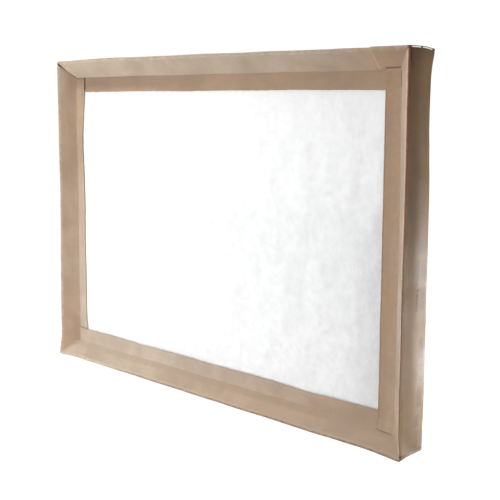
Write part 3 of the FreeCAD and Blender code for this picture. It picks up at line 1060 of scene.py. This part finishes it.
def zone_group():
    tree, taken, given = new_group("board zones", FROM_STRIP_AND_ROOM, [])
    for zone, mask in zone_masks(tree, taken["Strip"], taken["Place"]).items():
        tree.interface.new_socket(zone, in_out="OUTPUT", socket_type="NodeSocketFloat")
        tree.links.new(mask, given[zone])
    return tree


board_zones = zone_group()
print("board zones has", len(board_zones.nodes), "nodes")

# %% [markdown]
# The bare board is a plain mid brown, with paler and deeper clouds. Each zone tints it, and a tint
# multiplies, so that the grain stays visible through it. The values were found one by one, beside
# the photograph, with the light already as it is below.

# %% Colours of the board
KRAFT_MID = (0.36, 0.25, 0.165, 1)
KRAFT_PALE = (0.41, 0.29, 0.20, 1)
KRAFT_DEEP = (0.31, 0.21, 0.135, 1)
FLECK_BROWN = (0.15, 0.085, 0.045, 1)
RUBBED_ORANGE = (0.37, 0.21, 0.125, 1)
PAINTED_SHADE_DARK = (0.17, 0.095, 0.055, 1)
SCUFF_AND_HIGHLIGHT_PALE = (0.47, 0.37, 0.28, 1)
CRACKED_ORANGE = (0.56, 0.28, 0.165, 1)
CRACKED_PALE = (0.80, 0.56, 0.38, 1)
SHADOW_RED = (0.07, 0.025, 0.015, 1)
INK = (0.13, 0.14, 0.15, 1)
# red, green and blue are multiplied by these
ZONE_TINTS = {
    # painted highlight: paler and bluer towards the lower left
    "Painted light lower left": (1.10, 1.24, 1.38),
    # painted light: the left slope a little lighter
    "Left slope": (1.12, 1.05, 1.00),
    "Corner shade": (0.76, 0.68, 0.60),
    "Lower corner": (1.00, 0.93, 0.87),
    # painted reflection: these three make the slopes paler and bluer, for the sheen of the white room
    "Long slopes": (1.10, 1.23, 1.36),
    "Right slope": (0.95, 1.02, 1.10),
    "Slope middle": (1.03, 1.07, 1.14),
    # painted shade: the flanges in the recess warmer and darker
    "Flanges": (0.93, 0.87, 0.79),
    "Shaded flange": (0.76, 0.76, 0.80),
    # painted shade: the right flange warmer and darker
    "Right flange": (0.97, 0.92, 0.86),
    # painted highlight: the bottom flange paler and bluer
    "Bottom flange": (1.06, 1.13, 1.22),
    "Wall": (1.26, 1.16, 0.94),
    # painted shade at the wall's top and upper front, painted light from the floor at its foot
    "Upper wall": (0.86, 0.82, 0.72),
    "Pale foot": (1.14, 1.19, 1.30),
    "Painted shade wall front": (0.66, 0.62, 0.62),
    "Tab": (1.04, 0.97, 0.90),
}
print(len(ZONE_TINTS), "zones are tinted")

# %% [markdown]
# Wear and painted shade follow the folds and the cut ends. The front fold of the right side has cracked: a
# broken orange line, bright where fibres stand up. The back fold is rubbed too. The cut ends of the tab and
# the flanges, the grooves, the inner crease and the lower rim show as thin dark lines of painted shadow,
# and a soft band of painted shade lies below the bottom crease. Their shadows alone are too faint for that
# at this distance, so they are painted in. The rim, the tab's cut end and the right flange's end carry
# painted highlights beside the scuffs. Each line runs along the strip or across it.

# %% Wear and painted shade on the folds
# which way it runs, where it lies, width, how broken, colour, strength, zone
FOLD_WEAR_AND_SHADE = [
    # painted shade in the crease between slope and flange
    ("along", CREASE_ACROSS, 1.6 * MM, 0.7, KRAFT_DEEP, 0.6, None),
    # a scuffed rim with a painted highlight on it
    ("along", 2.0 * MM, 3.0 * MM, 0.8, SCUFF_AND_HIGHLIGHT_PALE, 0.6, None),
    # painted shade on the wall side of the rim's fold
    ("along", -1.5 * MM, 2.0 * MM, 0.8, PAINTED_SHADE_DARK, 0.25, None),
    ("along", -1.8 * MM, 3.2 * MM, 0.5, RUBBED_ORANGE, 0.7, "Right folds"),
    ("along", -2.4 * MM, 5.0 * MM, 0.2, CRACKED_ORANGE, 0.95, "Upper right fold"),
    ("along", -0.4 * MM, 1.8 * MM, 0.3, CRACKED_PALE, 0.45, "Right folds"),
    ("along", 2.0 * MM, 4.0 * MM, 0.1, KRAFT_PALE, 0.8, "Lower rim"),
    # painted shadow under the lower rim
    ("along", 0.6 * MM, 1.6 * MM, 0.45, PAINTED_SHADE_DARK, 0.8, "Lower rim"),
    # painted shade in the groove beside the closing fold
    ("along", -4.8 * MM, 1.6 * MM, 0.9, PAINTED_SHADE_DARK, 0.4, "Right folds"),
    ("along", -DEPTH + 0.6 * MM, 1.6 * MM, 0.5, RUBBED_ORANGE, 0.8, "Right folds"),
    # painted shadows at the tab's cut end and beside it
    ("along", CREASE_ACROSS, 2.2 * MM, 0.2, PAINTED_SHADE_DARK, 0.5, "Tab"),
    ("along", CREASE_ACROSS, 2.0 * MM, 0.1, PAINTED_SHADE_DARK, 0.8, "Beside the tab"),
    ("along", CREASE_ACROSS + 5.5 * MM, 12.0 * MM, 0.6, SCUFF_AND_HIGHLIGHT_PALE, 0.3, "Right flange"),
    # painted contact shadow along the right flange's inner edge, where the pad shows
    ("along", CREASE_ACROSS + FLANGE - 0.6 * MM, 2.6 * MM, 0.15, PAINTED_SHADE_DARK, 0.6, "Right flange edge"),
    # painted shadow of the bottom flange's edge on the left flange
    ("across", BOTTOM_START - 47.8 * MM, 2.8 * MM, 0.1, PAINTED_SHADE_DARK, 0.6, "Left flange"),
    # painted soft shade below the bottom crease
    ("along", CREASE_ACROSS - 4.5 * MM, 9.0 * MM, 0.3, KRAFT_DEEP, 0.75, "Lower slope"),
    # painted shadow under the right flange's top end, and a painted highlight below it
    ("across", FLANGE_END - 0.9 * MM, 2.4 * MM, 0.1, PAINTED_SHADE_DARK, 0.9, "Right flange"),
    ("across", FLANGE_END - 3.6 * MM, 2.2 * MM, 0.3, SCUFF_AND_HIGHLIGHT_PALE, 0.7, "Right flange"),
    # painted highlight along the tab's cut end
    ("across", WALL_TOP + TAB_LENGTH - 6.5 * MM, 2.6 * MM, 0.3, SCUFF_AND_HIGHLIGHT_PALE, 0.75, "Tab"),
    ("across", TAB_LENGTH - 1.0 * MM, 7.0 * MM, 0.3, CRACKED_ORANGE, 0.35, "Slopes"),
    ("across", WALL_TOP + 0.1 * MM, 2.2 * MM, 0.2, SHADOW_RED, 0.95, "Right folds"),
    # painted shade in the groove above the bead
    ("across", WALL_FOOT + 6.0 * MM, 1.6 * MM, 0.3, PAINTED_SHADE_DARK, 0.8, "Right folds"),
    ("across", WALL_FOOT + 2.5 * MM, 3.2 * MM, 0.4, RUBBED_ORANGE, 0.5, "Right folds"),
]


def wear_and_shade_folds(tree, colour, strip_map, zones):
    parts = node(tree, "SeparateXYZ", {"Vector": strip_map}).outputs
    turned = node(tree, "CombineXYZ", {"X": parts["Y"], "Y": parts["X"]}).outputs[0]
    maps = {"along": strip_map, "across": turned}
    for direction, line, width, broken, paint, strength, zone in FOLD_WEAR_AND_SHADE:
        feeds = {"Strip": maps[direction], "Line": line, "Width": width, "Break": broken}
        mask = times(tree, node(tree, "Group", feeds, node_tree=fold_line).outputs["Mask"], strength)
        if zone:
            mask = times(tree, mask, zones[zone])
        colour = blend(tree, mask, colour, paint)
    return colour


print(len(FOLD_WEAR_AND_SHADE), "lines of wear and painted shade")

# %% [markdown]
# The print's bars stand one below the other down the right wall. The ink only stains the fibres, so
# it never covers them fully, and noise wears holes in it. The strongest bar wins where two meet.

# %% Print on the wall
# from the top of the right wall, to, from the rim, to, all in millimetres; lines; strength
MARKS = [
    (67, 115, 31.7, 39.9, 2, 0.40),
    (153, 201, 29.0, 38.2, 2, 0.40),
    (231, 250, 25.5, 38.5, 1, 0.45),
    (256, 288, 23.8, 29.8, 1, 0.85),
    (293, 321, 24.5, 29.5, 1, 0.75),
    (257, 320, 32.5, 43.5, 4, 0.55),
    (356, 382, 33.0, 43.5, 1, 0.42),
    (389, 412, 33.5, 43.0, 1, 0.34),
    (418, 445, 31.5, 42.0, 1, 0.36),
    (454, 470, 29.5, 38.5, 1, 0.42),
    (474, 501, 30.5, 38.0, 1, 0.36),
]


def print_wall(tree, colour, strip_map):
    inked = 0.0
    for start, stop, near, far, lines, strength in MARKS:
        feeds = {"Strip": strip_map, "Lines": lines,
                 "Along": WALL_TOP - (start + stop) / 2 * MM, "Length": (stop - start) * MM,
                 "Across": -(near + far) / 2 * MM, "Breadth": (far - near) * MM}
        mask = node(tree, "Group", feeds, node_tree=printed_mark).outputs["Mask"]
        inked = maths(tree, "MAXIMUM", times(tree, mask, strength), inked)
    worn = ramp(tree, fine_noise(tree, strip_map, 3.5 * MM, 4.0, 0.5), 0.35, 0.62, 1.0, 0.35)
    return blend(tree, times(tree, inked, worn), colour, INK)


print(len(MARKS), "printed bars")

# %% [markdown]
# Now the board's colour is built up: clouds, streaks and flecks of the mill first, then the lines of wear
# and painted shade on the folds, the tints of the zones, several of which are painted light and shade, and
# the ink last. A low bump lifts the streaks, and where the fibres lie thick the skin is a little rougher.

# %% Brown board
def paint_board(material):
    tree = open_tree(material)
    strip_map = node(tree, "UVMap", uv_map="strip").outputs["UV"]
    feeds = {"Strip": strip_map, "Place": node(tree, "TexCoord").outputs["Object"]}
    grain = node(tree, "Group", feeds, node_tree=board_fibres).outputs
    zones = node(tree, "Group", feeds, node_tree=board_zones).outputs
    colour = blend(tree, grain["Cloud"], KRAFT_DEEP, KRAFT_PALE)
    colour = blend(tree, times(tree, grain["Streak"], 0.6), colour, KRAFT_MID)
    colour = blend(tree, times(tree, grain["Fleck"], 0.6), colour, FLECK_BROWN)
    colour = wear_and_shade_folds(tree, colour, strip_map, zones)
    for zone, factor in ZONE_TINTS.items():
        colour = tint(tree, zones[zone], colour, factor)
    colour = print_wall(tree, colour, strip_map)
    roughness = ramp(tree, grain["Cloud"], 0.0, 1.0, 0.52, 0.68)
    surface(tree, colour, roughness, grain["Height"], 0.12 * MM, 0.5)
    return len(tree.nodes)


print("brown board has", paint_board(kraft), "nodes")

# %% [markdown]
# A cut edge of board shows its core: pale, short fibres in thin layers. The same fibre group paints it, in
# cream. It is rougher than the skin. Where the board is torn, at the slits under the closing fold, no knife
# has pressed the core shut, so it is paler. It is painted paler still, nearly white, and given a constant
# weak glow: painted light for the bright background that shows through the open slits.

# %% Cut edge of the board
EDGE_PALE = (0.62, 0.50, 0.36, 1)
EDGE_DEEP = (0.40, 0.28, 0.18, 1)
TORN_PALE = (0.93, 0.89, 0.80, 1)
TORN_DEEP = (0.80, 0.70, 0.54, 1)


def paint_edge(material, pale, deep, glow):
    tree = open_tree(material)
    strip_map = node(tree, "UVMap", uv_map="strip").outputs["UV"]
    place = node(tree, "TexCoord").outputs["Object"]
    grain = node(tree, "Group", {"Strip": strip_map, "Place": place}, node_tree=board_fibres).outputs
    ragged = fine_noise(tree, place, 1.2 * MM, 3.0)
    colour = blend(tree, ramp(tree, ragged, 0.4, 0.7), pale, deep)
    colour = blend(tree, times(tree, grain["Fleck"], 0.5), colour, FLECK_BROWN)
    core = surface(tree, colour, ramp(tree, ragged, 0.0, 1.0, 0.75, 0.95), ragged, 0.15 * MM, 0.6)
    tree.links.new(colour, core.inputs["Emission Color"])
    core.inputs["Emission Strength"].default_value = glow
    return len(tree.nodes)


# the torn slits get a painted glow
print("cut edge has", paint_edge(raw_edge, EDGE_PALE, EDGE_DEEP, 0.0), "nodes, and the torn slits",
      paint_edge(torn_core, TORN_PALE, TORN_DEEP, 0.7))

# %% [markdown]
# The pad is a web of fine crimped fibres, laid at random and puffed up. It has no weave. What shows is a
# soft mottle, denser and thinner places the size of a thumb, and near to a tangle of hair-fine threads.
# Noise that is bent by other noise gives both. Loose fibre scatters light inside, so a little of the light
# that enters comes out further on, which is what subsurface scattering does. The web's colour is darker at
# the left, low down and at the lower right: painted shade for how the light falls on the pad.

# %% White polyester
# the web's own colours, then the factors of painted shade at the left, low down and at the low right
FLEECE_WHITE = (0.965, 0.97, 0.975, 1)
FLEECE_SHADE = (0.905, 0.91, 0.92, 1)
FLEECE_LEFT_SHADE = (0.80, 0.80, 0.80)
FLEECE_LOW_SHADE = (0.92, 0.92, 0.92)
FLEECE_RIGHT_SHADE = (0.79, 0.79, 0.795)


def web_group():
    tree, taken, given = new_group("fibre web", {"Place": (0.0, 0.0, 0.0)}, ["Clump", "Thread", "Height"])
    clump = fine_noise(tree, taken["Place"], 11 * MM, 3.0, 0.3)
    threads = []
    for turn in (0.3, 1.4, 2.5):
        laid = node(tree, "Mapping", {"Vector": taken["Place"], "Rotation": (0.0, turn, 0.0),
                                      "Scale": (1.0, 1.0, 0.14)}).outputs[0]
        strand = fine_noise(tree, laid, 1.3 * MM, 2.0, 1.5)
        off_middle = maths(tree, "ABSOLUTE", maths(tree, "SUBTRACT", strand, 0.5))
        threads.append(ramp(tree, off_middle, 0.05, 0.0))
    tangle = maths(tree, "MAXIMUM", threads[0], maths(tree, "MAXIMUM", threads[1], threads[2]))
    tree.links.new(ramp(tree, clump, 0.34, 0.66), given["Clump"])
    tree.links.new(tangle, given["Thread"])
    tree.links.new(maths(tree, "ADD", times(tree, tangle, 0.5), clump), given["Height"])
    return tree


fibre_web = web_group()


def paint_fleece(material):
    tree = open_tree(material)
    place = node(tree, "TexCoord").outputs["Object"]
    web = node(tree, "Group", {"Place": place}, node_tree=fibre_web).outputs
    parts = node(tree, "SeparateXYZ", {"Vector": place}).outputs
    low = ramp(tree, parts["Z"], 0.36, 0.24)
    colour = blend(tree, web["Clump"], FLEECE_WHITE, FLEECE_SHADE)
    colour = tint(tree, ramp(tree, parts["X"], 0.16, -0.32), colour, FLEECE_LEFT_SHADE)
    colour = tint(tree, times(tree, low, ramp(tree, parts["X"], -0.30, 0.0)), colour, FLEECE_LOW_SHADE)
    colour = tint(tree, times(tree, low, ramp(tree, parts["X"], 0.24, 0.345)), colour, FLEECE_RIGHT_SHADE)
    colour = blend(tree, times(tree, web["Thread"], 0.5), colour, FLEECE_WHITE)
    roughness = ramp(tree, web["Clump"], 0.0, 1.0, 0.8, 0.95)
    wool = surface(tree, colour, roughness, web["Height"], 1.2 * MM, 0.35)
    wool.inputs["Subsurface Weight"].default_value = 0.3
    wool.inputs["Subsurface Radius"].default_value = (1.0, 1.0, 1.0)
    wool.inputs["Subsurface Scale"].default_value = 6 * MM
    wool.inputs["Specular IOR Level"].default_value = 0.2
    return len(tree.nodes)


print("fibre web has", len(fibre_web.nodes), "nodes and the pad's material", paint_fleece(fleece))

# %% [markdown]
# The filter stands on a plain pale floor. In the photograph the floor and the background are one
# clean white, with no horizon and hardly a shadow. So the floor mostly glows for the camera, while
# for the lamps it is an ordinary pale matt sheet, which throws light up onto the lower slope. It lies
# just below the lowest point of the bent frame, so that nothing sinks into it.

# %% Floor
FLOOR_DROP = 3.2 * MM
FLOOR_REACH = 4.0
FLOOR_GLOW = 1.15
sheet = bmesh.new()
bmesh.ops.create_grid(sheet, x_segments=1, y_segments=1, size=FLOOR_REACH,
                      matrix=Matrix.Translation((0, 0, -FLOOR_DROP)))
floor_mesh = bpy.data.meshes.new("floor")
sheet.to_mesh(floor_mesh)
sheet.free()
floor = bpy.data.objects.new("floor", floor_mesh)
bpy.context.scene.collection.objects.link(floor)


def paint_floor(material):
    tree = open_tree(material)
    paint = tree.nodes["Principled BSDF"]
    paint.inputs["Base Color"].default_value = (0.85, 0.85, 0.85, 1)
    paint.inputs["Roughness"].default_value = 0.9
    glow = node(tree, "Emission", {"Strength": FLOOR_GLOW}).outputs["Emission"]
    seen = times(tree, node(tree, "LightPath").outputs["Is Camera Ray"], 0.9)
    mixed = node(tree, "MixShader", {0: seen, 1: paint.outputs["BSDF"], 2: glow})
    tree.links.new(mixed.outputs["Shader"], tree.nodes["Material Output"].inputs["Surface"])
    return material


floor_mesh.materials.append(paint_floor(bpy.data.materials.new("white floor")))
print("floor lies", round(FLOOR_DROP / MM, 1), "mm below the filter's nominal foot")

# %% [markdown]
# The light is that of a white photo tent: a large soft box high on the left, long low strips near
# the floor in front and at the left, and one small low lamp behind on the right, with a weak strip
# beside it, which grazes the tall right wall and leaves its front edge dark. Each lamp was first
# tried alone, and its power was then set so that the mix gives the slopes, flanges and wall the
# brightness that they have in the photograph. A rear box and a faint sky keep the other side from
# going black. The lamps are hidden from the camera, because a view from the side would show them.

# %% Light
# name, place, aim, size, watts
LAMPS = [
    ("high soft box", (-0.7, -0.5, 1.5), (-0.1, 0, 0.3), (1.0, 1.0), 23.5),
    ("low left key", (-0.75, -0.95, 0.10), (-0.25, 0, 0.15), (0.9, 0.4), 7.8),
    ("low front strip", (0.1, -1.1, 0.06), (0.1, 0, 0.25), (1.4, 0.2), 4.6),
    ("low left strip", (-1.2, -0.6, 0.10), (-0.1, 0, 0.15), (0.8, 0.2), 2.5),
    ("low back lamp", (0.55, 0.6, 0.04), (0.375, 0, 0.05), (0.2, 0.08), 4.5),
    ("low right strip", (0.8, 0.25, 0.08), (0.375, 0, 0.08), (0.5, 0.2), 0.15),
    ("rear box", (-0.9, 2.0, 1.0), (0, 0, 0.25), (1.5, 1.0), 16.0),
]
SKY = 0.01
BACKDROP = 1.02


def add_lamp(name, place, aim, size, watts):
    data = bpy.data.lights.new(name, "AREA")
    data.shape = "RECTANGLE"
    data.size, data.size_y = size
    data.energy = watts
    lamp = bpy.data.objects.new(name, data)
    bpy.context.scene.collection.objects.link(lamp)
    lamp.location = place
    lamp.rotation_euler = (Vector(aim) - Vector(place)).to_track_quat("-Z", "Y").to_euler()
    lamp.visible_camera = False
    return lamp


for lamp in LAMPS:
    add_lamp(*lamp)

world = bpy.data.worlds.new("studio")
world.use_nodes = True
bpy.context.scene.world = world
tree = world.node_tree
white = node(tree, "Background", {"Color": (1, 1, 1, 1), "Strength": BACKDROP}).outputs[0]
sky = node(tree, "Background", {"Color": (1, 1, 1, 1), "Strength": SKY}).outputs[0]
seen = node(tree, "LightPath").outputs["Is Camera Ray"]
both = node(tree, "MixShader", {0: seen, 1: sky, 2: white}).outputs[0]
tree.links.new(both, tree.nodes["World Output"].inputs["Surface"])
bpy.context.scene.view_settings.view_transform = "Standard"
print(len(LAMPS), "lamps,", round(sum(lamp[4] for lamp in LAMPS), 1), "W in all")
